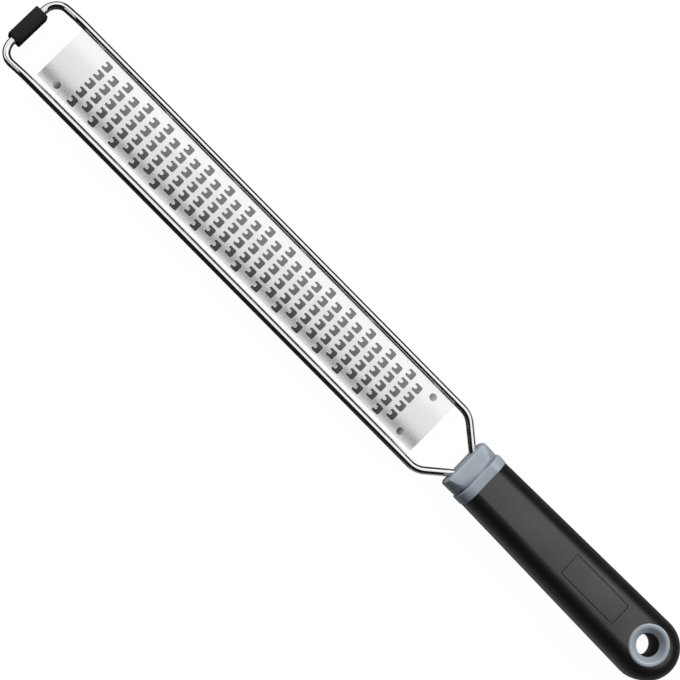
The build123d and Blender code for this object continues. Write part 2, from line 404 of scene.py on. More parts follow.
# %% Route and tube
def rounded_route(corners, radii):
    """A line through corner points, with arcs at its inner corners.

    An arc with half turn h starts radius * tan(h) before its corner. Its points are
    centre + cos(a) * (start - centre) + sin(a) * radius * (direction into the corner).
    """
    runs = [corners[:1]]
    for before, corner, after, radius in zip(corners, corners[1:], corners[2:], radii):
        into, out = unit(corner - before), unit(after - corner)
        turn = np.arccos(into @ out)
        start = corner - radius * np.tan(turn / 2) * into
        centre = corner + unit(out - into) * radius / np.cos(turn / 2)
        angle = np.linspace(0, turn, 1 + int(np.ceil(turn / ARC_STEP)))[:, None]
        runs.append(centre + np.cos(angle) * (start - centre) + np.sin(angle) * radius * into)
    return np.concatenate([*runs, corners[-1:]])


def tube(path, radius, sides):
    """A circle carried along a path, closed by a point at each end.

    side is the path's direction crossed with Z, up is side crossed with the direction, and the
    point at angle a is path + radius * (cos(a) * side + sin(a) * up). The attribute holds
    cos(a), sin(a) and the distance along the path, which is drawn out into lines.
    """
    path = np.concatenate([path[:1], path, path[-1:]])
    step = np.linalg.norm(np.diff(path, axis=0), axis=1)
    distance = np.concatenate([[0], np.cumsum(step)])
    direction = unit(np.gradient(path[1:-1], distance[1:-1], axis=0))
    direction = np.concatenate([direction[:1], direction, direction[-1:]])
    side = unit(np.cross(direction, [0, 0, 1]))
    up = np.cross(side, direction)
    radii = np.full(len(path), radius)
    radii[[0, -1]] = 0
    angle = full_turn(sides)
    spoke = np.cos(angle)[:, None] * side[:, None] + np.sin(angle)[:, None] * up[:, None]
    points = path[:, None] + radii[:, None, None] * spoke
    along = stacked(np.cos(angle), np.sin(angle), distance[:, None] * DRAWN_OUT)
    quads = grid_quads(len(path), sides, close_columns=True)
    return points.reshape(-1, 3), quads, along.reshape(-1, 3)


def make_wire():
    """The corners of one half, from the end of its tail to the tip, and then their mirror image."""
    half = np.array([
        (TAIL_END_X, TAIL_Y, WIRE_Z),
        (ENTRY_CORNER_X, TAIL_Y, WIRE_Z),
        (NECK_CORNER_X, SIDE_Y, WIRE_Z),
        (TIP_WIRE_X + TIP_DIP_LENGTH, SIDE_Y, WIRE_Z),
        (TIP_WIRE_X, SIDE_Y, TIP_WIRE_Z),
    ])
    corners = np.concatenate([half, half[::-1] * (1, -1, 1)])
    route = rounded_route(corners, BEND_RADII + BEND_RADII[::-1])
    points, quads, along = tube(route, WIRE_RADIUS, ROD_SIDES)
    mesh = make_mesh("wire", points, quads, {"along_rod": along})
    return add_piece("wire", mesh, ROD, "polished_steel", "wire_frame")


wire = make_wire()

# %% [markdown]
# ## Blade steel
# The blade is thin stainless sheet with a fine satin skin and openings etched through it. Etching
# leaves the edges a little rougher than the face, and they carry a painted highlight: their colour
# is painted lighter. The attribute "rim" says how near an edge a point is. The satin lines run
# along the blade, as the strip was rolled.


# %% Blade material
SATIN_STRETCH = (1.0, 14.0, 14.0)
SATIN_SCALE = 900.0


def make_blade_material():
    """Satin lines tint and dull the face. An etched rim is rougher and has a painted highlight."""
    material, tree, shader = new_material("etched blade steel", Metallic=1.0)
    place = object_place(tree)
    satin = stretch(tree, place, SATIN_STRETCH)
    lines = use_group(tree, DRAW_LINES, {"Stretched Place": satin, "Scale": SATIN_SCALE})
    rim = add_node(tree, "ShaderNodeAttribute", attribute_name="rim").outputs["Fac"]
    smudge = use_group(tree, SMUDGES, {"Place": place, "Roughness": 0.25, "Amount": 0.05})
    lined = math_node(tree, "MULTIPLY_ADD", lines.outputs["Lines"], 0.04, smudge.outputs[0])
    rough = math_node(tree, "MULTIPLY_ADD", rim, 0.1, lined)
    face = mix_colours(tree, lines.outputs["Lines"], (0.75, 0.75, 0.755), (0.83, 0.83, 0.835))
    # Painted highlight: near an etched edge the colour is lighter than the face.
    colour = mix_colours(tree, rim, face, (0.84, 0.84, 0.85))
    relief = bump(tree, lines.outputs["Lines"], 0.025, HAIRLINE_DEPTH)
    feed(tree, shader, Base_Color=colour, Roughness=rough, Normal=relief)
    return material


BLADE = make_blade_material()
print("material:", BLADE.name)

# %% [markdown]
# ## Blade plate
# The real plate is etched flat, its teeth are bent up, and then it is arched. The same order is
# used here. A flat pattern of cells is laid out in x and y: plain cells, cells with an opening
# and its tooth, and cells with a round tooling hole. Then one formula bends the pattern over the
# arch and round the tighter shoulders, where the sheet is rolled down along both sides, and a
# Solidify modifier gives the sheet its thickness. A cell has only a few dozen faces, because there
# are 144 openings.

# %% Lengths of the blade plate
PLATE_TIP_X = -151.605
PLATE_LENGTH = 193.8
SHEET = 0.4
CROWN_RADIUS = 36.0
CROWN_Z = -23.226
CROWN_Y = 11.28
CROWN_EDGE_SLOPE = np.arcsin(CROWN_Y / CROWN_RADIUS)
SHOULDER_RADIUS = 3.4
SHOULDER_Y = (CROWN_RADIUS - SHOULDER_RADIUS) * np.sin(CROWN_EDGE_SLOPE)
SHOULDER_Z = CROWN_Z + (CROWN_RADIUS - SHOULDER_RADIUS) * np.cos(CROWN_EDGE_SLOPE)
SHOULDER_SLOPES = np.radians([23.0, 28.0, 33.0, 38.0, 43.0, 48.0])

PITCH = 5.28
SPREAD = 4.46
FIRST_ROW_X = PLATE_TIP_X + 15.8
ROW_COUNT = 32
WIDE_ROW = 5
OPENING = (3.3 / 2, 3.35 / 2)
OPENING_CORNER = 0.5
TOOTH_WIDTH = 1.4
TOOTH_LENGTH = 1.5
TOOTH_TILT = np.radians(17.0)
HINGE_LENGTH = 0.45
TOOTH_EDGE = 1.2
THINNEST = 0.15
HOLE_RADIUS = 1.45
HOLE_INSET = 7.75
HOLE_Y = 8.8
RIM = 0.25
X_STEPS = 6
Y_STEPS = 8
CORNER_STEPS = 2
edge_slope = np.degrees(SHOULDER_SLOPES[-1])
print(f"plate: {PLATE_LENGTH} mm long, its sides rolled down to {edge_slope:.0f} degrees")


# %% Outline of a rounded rectangle
def rounded_rectangle(half_x, half_y, radius, x_shares, y_shares, corner_steps):
    """Points round a rectangle with rounded corners, anticlockwise from its lower right end.

    Shares from -1 to 1 place the points of the straight sides, and a corner's points are its
    centre + radius * (cos(a), sin(a)). With radius 0 a corner's points lie on each other, so
    loops of any radius have the same number of points and can be joined by quads.
    """
    x_reach, y_reach = half_x - radius, half_y - radius
    y_run, x_run = y_reach * y_shares[:-1], x_reach * x_shares[:-1]
    angle = np.linspace(0, np.pi / 2, corner_steps, endpoint=False)
    arc = radius * stacked(np.cos(angle), np.sin(angle))
    right, top = stacked(half_x, y_run), stacked(-x_run, half_y)
    first_corner = arc + (x_reach, y_reach)
    second_corner = arc[:, ::-1] * (-1, 1) + (-x_reach, y_reach)
    half_loop = np.concatenate([right, first_corner, top, second_corner])
    return np.concatenate([half_loop, -half_loop])


uniform_x = np.linspace(-1, 1, X_STEPS + 1)
uniform_y = np.linspace(-1, 1, Y_STEPS + 1)
root_share = TOOTH_WIDTH / 2 / (OPENING[1] - OPENING_CORNER)
side_share = (1 + root_share) / 2
tooth_y = np.array([-1, -side_share, -root_share, -root_share / 2, 0, root_share / 2,
                    root_share, side_share, 1])
cell_loop = rounded_rectangle(PITCH / 2, SPREAD / 2, 0, uniform_x, uniform_y, CORNER_STEPS)
print("points round a cell:", len(cell_loop))


# %% One cell with an opening and its tooth
def opening_cell():
    """Rings from the cell's border to the opening, and the tooth as a small grid.

    A tooth point at distance d from the hinge lies at the sum of the steps times the cosine of
    the slope along x, and times its sine in height. The slope grows from 0 to the tilt over the
    first steps, so the tooth bends out of the sheet and isn't folded.
    """
    near = rounded_rectangle(OPENING[0] + RIM, OPENING[1] + RIM, OPENING_CORNER + RIM,
                             uniform_x, tooth_y, CORNER_STEPS)
    edge = rounded_rectangle(*OPENING, OPENING_CORNER, uniform_x, tooth_y, CORNER_STEPS)
    rings = np.concatenate([cell_loop, near, edge])
    sheet = stacked(*rings.T, 0.0)
    rim = np.repeat([0.0, 0.0, 1.0], len(cell_loop))

    distance = np.array([0, 0.2, HINGE_LENGTH, 0.8, 1.15, 1.4, 1.49])
    half_width = TOOTH_WIDTH / 2 * np.array([1, 1, 1, 1, 0.87, 0.52, 0.2])
    step = np.diff(distance, prepend=0)
    slope = TOOTH_TILT * np.clip(distance / HINGE_LENGTH, 0, 1)
    x = -OPENING[0] + np.cumsum(step * np.cos(slope))
    height = np.cumsum(step * np.sin(slope))
    across = np.linspace(-1, 1, 5)
    tooth = stacked(x[:, None], half_width[:, None] * across, height[:, None]).reshape(-1, 3)
    tooth_rim = np.maximum(np.abs(across) == 1, (distance > TOOTH_EDGE)[:, None]).astype(float).ravel()
    thin = np.repeat(np.clip(1 - distance / TOOTH_LENGTH, THINNEST, 1) ** 0.5, len(across))

    quads = grid_quads(3, len(cell_loop), close_columns=True)
    tooth_quads = grid_quads(len(distance), len(across)) + len(sheet)
    return (
        np.concatenate([sheet, tooth]),
        np.concatenate([quads, tooth_quads]),
        np.concatenate([rim, tooth_rim]),
        np.concatenate([np.ones(len(sheet)), thin]),
    )


def hole_cell(offset_y):
    """Rings from the cell's border to a round hole whose middle is off the cell's by offset_y."""
    middle = np.array([0, offset_y])
    spokes = unit(cell_loop - middle)
    rings = np.concatenate([
        cell_loop, middle + spokes * (HOLE_RADIUS + RIM), middle + spokes * HOLE_RADIUS
    ])
    points = stacked(*rings.T, 0.0)
    rim = np.repeat([0.0, 0.0, 1.0], len(cell_loop))
    return points, grid_quads(3, len(cell_loop), close_columns=True), rim, np.ones(len(points))


print("faces of an opening and its tooth:", len(opening_cell()[1]))


# %% The flat pattern
def cell_places():
    """Middle of every opening cell: rows alternate between a wide row and one tooth less."""
    rows = np.arange(ROW_COUNT)
    wide = (np.arange(WIDE_ROW) - (WIDE_ROW - 1) / 2) * SPREAD
    narrow = (np.arange(WIDE_ROW - 1) - (WIDE_ROW - 2) / 2) * SPREAD
    row_x = FIRST_ROW_X + rows * PITCH
    places = stacked(row_x[::2, None], wide), stacked(row_x[1::2, None], narrow)
    return np.concatenate([row.reshape(-1, 2) for row in places])


def grid_lines():
    """The x lines and y lines of the plain grid. All cell borders lie on them."""
    plate_end_x = PLATE_TIP_X + PLATE_LENGTH
    toothed = FIRST_ROW_X - PITCH / 2 + np.arange(ROW_COUNT * X_STEPS + 1) * PITCH / X_STEPS
    hole_run = np.linspace(-PITCH / 2, PITCH / 2, X_STEPS + 1)
    tip_hole = PLATE_TIP_X + HOLE_INSET + hole_run
    end_hole = plate_end_x - HOLE_INSET + hole_run
    x_lines = np.concatenate([
        np.linspace(PLATE_TIP_X, tip_hole[0], 5), tip_hole[1:],
        np.linspace(tip_hole[-1], toothed[0], 4)[1:], toothed[1:],
        np.linspace(toothed[-1], end_hole[0], 3)[1:], end_hole[1:],
        np.linspace(end_hole[-1], plate_end_x, 5)[1:],
    ])
    inner = np.arange(-WIDE_ROW * Y_STEPS // 2, WIDE_ROW * Y_STEPS // 2 + 1) * SPREAD / Y_STEPS
    outer = np.concatenate([[CROWN_Y], SHOULDER_Y + SHOULDER_RADIUS * np.sin(SHOULDER_SLOPES)])
    return x_lines, np.concatenate([-outer[::-1], inner, outer])


def plain_grid(cells):
    """The grid of plain quads, without those whose middle is inside a cell."""
    x_lines, y_lines = grid_lines()
    points = stacked(x_lines[:, None], y_lines).reshape(-1, 2)
    quads = grid_quads(len(x_lines), len(y_lines))
    middle = points[quads].mean(axis=1)
    gap = np.abs(middle[:, None] - cells[None])
    taken = ((gap[..., 0] < PITCH / 2) & (gap[..., 1] < SPREAD / 2)).any(axis=1)
    return stacked(*points.T, 0.0), quads[~taken]


def copies(cell, places):
    """A cell's points and quads at each place."""
    points, quads, rim, thin = cell
    moved = points[None] + stacked(*places.T, 0.0)[:, None]
    numbers = quads[None] + (np.arange(len(places)) * len(points))[:, None, None]
    return (moved.reshape(-1, 3), numbers.reshape(-1, 4),
            np.tile(rim, len(places)), np.tile(thin, len(places)))


print("openings:", len(cell_places()))


# %% Over the arch
def over_arch(flat):
    """Bend the flat pattern: (x, y, height) goes to the arch's middle surface at y, plus height
    along the normal. The slope is arcsin(y / crown radius), and on a shoulder
    arcsin((y - shoulder's middle) / shoulder radius).
    """
    x, y, height = flat.T
    side = np.sign(y)
    on_shoulder = np.abs(y) > CROWN_Y
    crown_slope = np.arcsin(np.clip(np.abs(y) / CROWN_RADIUS, 0, 1))
    shoulder_slope = np.arcsin(np.clip((np.abs(y) - SHOULDER_Y) / SHOULDER_RADIUS, 0, 1))
    slope = np.where(on_shoulder, shoulder_slope, crown_slope)
    z = np.where(
        on_shoulder,
        SHOULDER_Z + SHOULDER_RADIUS * np.cos(slope),
        CROWN_Z + CROWN_RADIUS * np.cos(slope),
    )
    return stacked(x, y + side * height * np.sin(slope), z + height * np.cos(slope))


def make_plate():
    """Flat pattern, arch, thickness: the Solidify weight thins each tooth towards its edge."""
    teeth = cell_places()
    hole_middle_y = 2 * SPREAD
    tip_hole_x = PLATE_TIP_X + HOLE_INSET
    end_hole_x = PLATE_TIP_X + PLATE_LENGTH - HOLE_INSET
    lower_holes = np.array([(tip_hole_x, -hole_middle_y), (end_hole_x, -hole_middle_y)])
    upper_holes = np.array([(end_hole_x, hole_middle_y)])
    grid_points, quads = plain_grid(np.concatenate([teeth, lower_holes, upper_holes]))
    grid_part = (grid_points, quads, np.zeros(len(grid_points)), np.ones(len(grid_points)))
    points, quads, rim, thin = join_parts([
        grid_part,
        copies(opening_cell(), teeth),
        copies(hole_cell(hole_middle_y - HOLE_Y), lower_holes),
        copies(hole_cell(HOLE_Y - hole_middle_y), upper_holes),
    ])
    mesh = make_mesh("blade", over_arch(points), quads, {"rim": rim, "thin": thin}, closed=False)
    blade = add_piece("blade", mesh, BLADE, "etched_steel", "blade_plate")
    weights = np.zeros(len(mesh.vertices), np.float32)
    mesh.attributes["thin"].data.foreach_get("value", weights)
    group = blade.vertex_groups.new(name="thickness")
    for weight in np.unique(weights.round(3)):
        members = np.flatnonzero(np.isclose(weights, weight, atol=0.001))
        group.add(members.tolist(), float(weight), "REPLACE")
    thickness = blade.modifiers.new("sheet", "SOLIDIFY")
    thickness.thickness = SHEET * MM
    thickness.offset = 0
    thickness.vertex_group = group.name
    return soften_edges(blade, width=0.03, angle=60.0, segments=1)


blade = make_plate()

# %% [markdown]
# ## Materials for the moulded parts
# The collar and the bezels are satin blue-grey plastic, the core is black plastic, the foot is
# black silicone and the grip has a black soft-touch skin. They are dielectrics in dark or mid
# grey, and what tells them apart is how wide the highlights are and how coarse the grain is. The
# dull steel of the weld beads is made the same way, as a metal.


# %% Moulded materials
PATCH_SPREAD = 0.12
SMUDGE_AMOUNT = 0.1
GRAIN_STRENGTH = 0.5


def make_moulded_material(name, colour, speck, rough, grain_size, grain_depth, **constants):
    """A moulded plastic or rubber, whose colour goes from one tint to a second in soft patches.

    grain_size is the grain's width and grain_depth its height, in millimetres.
    """
    material, tree, shader = new_material(name, **constants)
    place, scale = object_place(tree), 1 / (grain_size * MM)
    grain = use_group(tree, GRAIN, {"Place": place, "Scale": scale, "Spread": PATCH_SPREAD})
    smudge = use_group(tree, SMUDGES, {"Place": place, "Roughness": rough, "Amount": SMUDGE_AMOUNT})
    tinted = mix_colours(tree, grain.outputs["Patches"], colour, speck)
    relief = bump(tree, grain.outputs["Height"], GRAIN_STRENGTH, grain_depth * MM)
    feed(tree, shader, Base_Color=tinted, Roughness=smudge.outputs[0], Normal=relief)
    return material


GREY_PLASTIC = make_moulded_material(
    "blue-grey plastic", (0.24, 0.275, 0.31), (0.27, 0.305, 0.34),
    rough=0.36, grain_size=0.35, grain_depth=0.006,
)
BLACK_PLASTIC = make_moulded_material(
    "black plastic", (0.005, 0.005, 0.0052), (0.009, 0.009, 0.0092),
    rough=0.6, grain_size=0.4, grain_depth=0.008, Specular_IOR_Level=0.2,
)
SILICONE = make_moulded_material(
    "black silicone", (0.005, 0.005, 0.005), (0.010, 0.010, 0.010),
    rough=0.55, grain_size=0.3, grain_depth=0.01, Specular_IOR_Level=0.3,
)
SOFT_TOUCH = make_moulded_material(
    "soft-touch skin", (0.004, 0.004, 0.0042), (0.007, 0.007, 0.0072),
    rough=0.42, grain_size=0.35, grain_depth=0.015,
)
WELD = make_moulded_material(
    "weld steel", (0.50, 0.495, 0.485), (0.42, 0.41, 0.39),
    rough=0.35, grain_size=0.25, grain_depth=0.02, Metallic=1.0,
)
moulded = (GREY_PLASTIC, BLACK_PLASTIC, SILICONE, SOFT_TOUCH, WELD)
print("materials:", ", ".join(material.name for material in moulded))

# %% [markdown]
# ## Tip foot
# A black silicone block is moulded round the dipped tip run and keeps the tool from sliding. It
# is one grid that closes both ways: along the outside, over the end face to the rod's hole, back
# through the hole, and over the other end face. Its top is slightly crowned along the tool.

# %% Tip foot
FOOT_HALF = (2.9, 7.3, 4.2)
FOOT_ROUNDING = 0.35
FOOT_END_ROUNDING = 0.3
FOOT_CROWN = 0.7
HOLE_CLEARANCE = 0.02


def foot_section(inset):
    """The foot's cross-section in x and z. The crown lowers the top by crown * (x / half)^2."""
    even = np.linspace(-1, 1, 9)
    half_x, _, half_z = FOOT_HALF
    x, z = rounded_rectangle(half_x - inset, half_z - inset, FOOT_ROUNDING, even, even, 4).T
    share = np.clip(z / half_z, 0, 1) ** 2
    return stacked(x, z + half_z - FOOT_CROWN * share * (x / half_x) ** 2)


def make_foot():
    """Rings at places along y. The inset is rounding * (1 - sin(a)) where y is short of the end
    by rounding * (1 - cos(a)).
    """
    angle = np.radians([90.0, 60.0, 30.0, 0.0])
    insets = FOOT_END_ROUNDING * (1 - np.sin(angle))
    reach = FOOT_HALF[1] - FOOT_END_ROUNDING * (1 - np.cos(angle))
    outer = foot_section(0)
    middle = np.array([0.0, TIP_WIRE_Z])
    hole = middle + unit(outer - middle) * (WIRE_RADIUS + HOLE_CLEARANCE)
    face = foot_section(FOOT_END_ROUNDING)
    half = [(foot_section(inset), y) for inset, y in zip(insets, reach)]
    half += [(0.5 * (face + hole), FOOT_HALF[1]), (hole, FOOT_HALF[1])]
    path = [(loop, -y) for loop, y in reversed(half)] + half
    rings = [stacked(TIP_WIRE_X + loop[:, 0], y, loop[:, 1]) for loop, y in path]
    mesh = make_mesh("foot", *shell(rings, close_rows=True))
    piece = add_piece("foot", mesh, SILICONE, "silicone", "tip_foot")
    return soften_edges(piece, width=0.12, angle=60.0)


make_foot()

# %% [markdown]
# ## Collar
# The blue-grey collar is an injection moulding: a nose with a sloped facet above and below, and a
# flange behind it that the grip's skin meets. Before the flange the facet dips into a valley, and
# the nose's corners are scooped out and fall away, which leaves the recesses on both sides. The
# cross-section changes along X, so the collar is made as rings at places along X. Each ring's
# points keep to the facet, its crease and the round corner, and so the crease runs along one line
# of points and stays clean, also where it is rounded over.

# %% Lengths of the collar
COLLAR_X = 59.505
FLANGE_X = 66.405
GRIP_X = 70.505
NOSE_HALF = (10.65, 8.1)
FLANGE_HALF = (11.1, 8.8)
SIDE_RADIUS = 6.0
FACET_DROP = 2.1
NOSE_ROUNDING = 0.9
FLANGE_ROUNDING = 0.5
VALLEY_DEPTH = 0.35
VALLEY_LENGTH = 1.5
SCOOP_DEPTH = 0.9
SIDE_FALL = 2.4
SIDE_FALL_LENGTH = 4.2
CREASE_DEPTH = 0.26
CREASE_SPREAD = 0.65
CORNER_POINTS = 11
FACET_POINTS = 15
print(f"collar: {GRIP_X - COLLAR_X:.1f} mm long, {2 * FLANGE_HALF[0]:.1f} mm wide at the flange")


# %% Cross-sections of the collar
def collar_ring(x, half, inset, clip, scoop=0.0, fall=0.0):
    """One closed cross-section at x: a rounded rectangle whose top and bottom are cut at a height.

    The corner arc goes from angle 0 up to the crease, where sin(a) is
    (clip - middle of the arc) / radius, and the facet spans between the two creases. A scoop
    takes depth * sin(pi * a / crease)^2 off the arc's radius, and a point falls towards the
    sides by fall * |y / half|^1.5 * (z / top)^2. At a distance d across from a crease the
    surface is lower by depth * cos(crease) * exp(-(d / spread)^2), which rounds a crease and
    leaves a smooth join as it is.
    """
    half_y, half_z = half[0] - inset, half[1] - inset
    radius = SIDE_RADIUS - inset
    middle_y, middle_z = half_y - radius, half_z - radius
    crease = np.arcsin(np.clip((clip - inset - middle_z) / radius, -1, 1))
    angle = np.linspace(0, crease, CORNER_POINTS)
    reach = radius - scoop * np.sin(np.linspace(0, np.pi, CORNER_POINTS)) ** 2
    arc = stacked(middle_y + reach * np.cos(angle), middle_z + reach * np.sin(angle))
    facet_y = arc[-1, 0] * np.cos(np.linspace(0, np.pi, FACET_POINTS))[1:-1]
    upper = np.concatenate([arc, stacked(facet_y, arc[-1, 1]), arc[::-1] * (-1, 1)])
    across, top = np.abs(upper[:, 0]), upper[:, 1].max()
    upper[:, 1] -= fall * (across / half_y) ** 1.5 * (upper[:, 1] / top) ** 2
    share = np.exp(-((across - arc[-1, 0]) / CREASE_SPREAD) ** 2)
    upper[:, 1] -= CREASE_DEPTH * np.cos(crease) * share
    loop = np.concatenate([upper, -upper])
    return stacked(x, loop[:, 0], loop[:, 1] + WIRE_Z)


def edge_steps(radius):
    """Distances into a rounded edge and the inset there: radius * (1 - cos(a), 1 - sin(a))."""
    angle = np.linspace(0, np.pi / 2, 5)
    return zip(radius * (1 - np.cos(angle)), radius * (1 - np.sin(angle)))


def facet_height(x):
    """Height of the facet over the collar's middle: it rises along x, then dips to the valley."""
    rise = NOSE_HALF[1] - FACET_DROP * (FLANGE_X - x) / (FLANGE_X - COLLAR_X)
    into_valley = np.clip((x - FLANGE_X + VALLEY_LENGTH) / VALLEY_LENGTH, 0, 1)
    return rise - VALLEY_DEPTH * np.sin(into_valley * np.pi / 2) ** 2


def towards_flange(x, length):
    """0 up to a length before the flange, and from there the square of the share of it."""
    return np.clip((x - FLANGE_X + length) / length, 0, 1) ** 2


# %% Collar
NOSE_START = 1.2
REAR_ROUNDING = FLANGE_ROUNDING * 0.6


def make_collar():
    """Rings from the middle of the front face, over the nose and flange, to the rear's middle."""
    nose = [(COLLAR_X + step, inset) for step, inset in edge_steps(NOSE_ROUNDING)]
    nose += [(x, 0.0) for x in np.linspace(COLLAR_X + NOSE_START, FLANGE_X - VALLEY_LENGTH, 6)]
    valley = np.linspace(FLANGE_X - VALLEY_LENGTH, FLANGE_X, 7)[1:]
    nose += [(x, VALLEY_DEPTH * ((x - FLANGE_X) / VALLEY_LENGTH + 1) ** 2 * 0.5) for x in valley]
    rings = []
    for x, inset in nose:
        scoop = SCOOP_DEPTH * towards_flange(x, FLANGE_X - COLLAR_X)
        fall = SIDE_FALL * towards_flange(x, SIDE_FALL_LENGTH)
        rings.append(collar_ring(x, NOSE_HALF, inset, facet_height(x), scoop, fall))
    front = [(FLANGE_X + step, inset) for step, inset in edge_steps(FLANGE_ROUNDING)]
    back = [(GRIP_X - step, inset) for step, inset in edge_steps(REAR_ROUNDING)]
    rings += [collar_ring(x, FLANGE_HALF, inset, FLANGE_HALF[1]) for x, inset in front + back[::-1]]
    caps = []
    for ring in (rings[0], rings[-1]):
        middle = np.array([ring[0, 0], 0, WIRE_Z])
        caps.append([middle + share * (ring - middle) for share in (0.0, 0.35, 0.7)])
    mesh = make_mesh("collar_shell", *shell(caps[0] + rings + caps[1][::-1]))
    piece = add_piece("collar_shell", mesh, GREY_PLASTIC, "grey_plastic", "collar")
    return soften_edges(piece, width=0.14, angle=14.0)


collar = make_collar()

# %% [markdown]
# ## Grip
# The soft-touch skin is moulded over the core: nearly parallel sides, a round end, large rounded
# edges, a very slightly crowned top, and a plain rectangle outlined by a groove. The outline and
# the rounding's profile give the sides as one grid. The top and the bottom are filled by a grid
# up to the round end, and by rings round the seat of the hang ring there.

# %% Lengths of the grip
END_MIDDLE_X = 157.455
END_RADIUS = 12.55
FRONT_HALF = 10.8
TAPER = (END_RADIUS - FRONT_HALF) / (END_MIDDLE_X - GRIP_X)
THICKNESS = 18.0
EDGE_RADIUS = 6.0
TOP_CROWN = 0.5
PANEL_X = 126.455
PANEL_HALF = (13.95, 5.05)
PANEL_CORNER = 1.0
PANEL_BORDER = (15.5, 5.3)
GROOVE = (0.8, 0.55)
GROOVE_LEAN = 0.1
SEAT_X = 156.005
SEAT_RADIUS = 8.25
SEAT_DEPTH = 2.65
SEAT_LEAN = 0.2
EYE_RADIUS = 4.8
PANEL_SHARES = np.linspace(-1, 1, 17)
ACROSS_SHARES = np.linspace(-1, 1, 9)
SIDE_POINTS_AT_END = 5
grip_length = END_MIDDLE_X + END_RADIUS - GRIP_X
print(f"grip: {grip_length:.1f} mm long, {2 * END_RADIUS} mm wide at its end")


# %% Outline and profile of the grip
def half_width(x):
    """Half the grip's width at x: front half + taper * (x - front)."""
    return FRONT_HALF + TAPER * (x - GRIP_X)


def grip_outline():
    """Points round the grip in plan and their outward normals, from the front's +Y corner.

    The end is middle + radius * (cos(a), sin(a)), from where one side touches it to the other.
    """
    x = np.concatenate([
        np.linspace(GRIP_X, PANEL_X - PANEL_BORDER[0], 9)[:-1],
        PANEL_X + PANEL_BORDER[0] * PANEL_SHARES,
        np.linspace(PANEL_X + PANEL_BORDER[0], END_MIDDLE_X, 8)[1:-1],
    ])
    reach = np.pi / 2 + np.arctan(TAPER)
    angle = np.linspace(reach, -reach, 49)
    spoke = stacked(np.cos(angle), np.sin(angle))
    side = stacked(x, half_width(x))
    side_normal = np.tile([0.0, 1.0], (len(x), 1))
    points = np.concatenate([side, (END_MIDDLE_X, 0) + END_RADIUS * spoke, side[::-1] * (1, -1)])
    return points, np.concatenate([side_normal, spoke, -side_normal]), len(x)


def grip_profile():
    """Inset and height of the side from the top's edge to the bottom's.

    On a rounding the inset is radius * (1 - cos(a)) and the height is its middle's plus
    radius * sin(a).
    """
    angle = np.radians(np.linspace(90, 0, 13))
    inset = EDGE_RADIUS * (1 - np.cos(angle))
    height = THICKNESS - EDGE_RADIUS + EDGE_RADIUS * np.sin(angle)
    middle = np.array([THICKNESS / 2])
    heights = np.concatenate([height, middle, THICKNESS - height[::-1]])
    return np.concatenate([inset, [0.0], inset[::-1]]), heights


# %% Faces of the grip
def main_face(x, height):
    """The face before the round end: lines at each x, from one rounding's edge to the other's."""
    inner = PANEL_BORDER[1] * ACROSS_SHARES
    edge = half_width(x)[:, None] - EDGE_RADIUS
    y = np.concatenate([-edge, np.tile(inner, (len(x), 1)), edge], axis=1)
    return stacked(x[:, None], y, height), grid_quads(*y.shape)


def panel_rings():
    """The panel: loops at the border and down and up the groove, then inwards to a line."""
    half_x, half_y = PANEL_HALF
    width, depth = GROOVE
    loops = [(*PANEL_BORDER, 0.0, 0.0)]
    groove = ((0.0, 0.0), (GROOVE_LEAN, depth), (width - GROOVE_LEAN, depth), (width, 0.0))
    loops += [(half_x - step, half_y - step, PANEL_CORNER - step, drop) for step, drop in groove]
    loops += [
        (half_x - 2 * width, half_y - 2 * width, 0.2, 0.0),
        (half_x - half_y / 2, half_y / 2, 0.1, 0.0),
        (half_x - half_y, 0.0, 0.0, 0.0),
    ]
    rings = []
    for reach_x, reach_y, corner, drop in loops:
        loop = rounded_rectangle(reach_x, reach_y, corner, PANEL_SHARES, ACROSS_SHARES, 4)
        rings.append(stacked(PANEL_X + loop[:, 0], loop[:, 1], THICKNESS - drop))
    return shell(rings)


def end_rings(outer):
    """Rings from the end's edge loop to the ring seat, through the eye, and out underneath.

    Between the edge loop and the seat a point is edge + share * (seat - edge), where the seat's
    point lies in the same direction from the hang hole. Where the seat is wider than the flat of
    the end, the surface leans down to it, under the ring.
    """
    middle = np.array([SEAT_X, 0.0])
    spokes = unit(outer - middle)
    seat, eye = middle + SEAT_RADIUS * spokes, middle + EYE_RADIUS * spokes
    lean = SEAT_LEAN * np.clip(SEAT_RADIUS - np.linalg.norm(outer - middle, axis=1), 0, None)
    shares = (0, 0.25, 0.5, 0.75, 0.95, 1)
    half = [(outer + share * (seat - outer), THICKNESS - share * lean) for share in shares]
    half += [(seat, THICKNESS - SEAT_DEPTH), (eye, THICKNESS - SEAT_DEPTH)]
    path = half + [(loop, THICKNESS - z) for loop, z in reversed(half)]
    return shell([stacked(*loop.T, z) for loop, z in path])


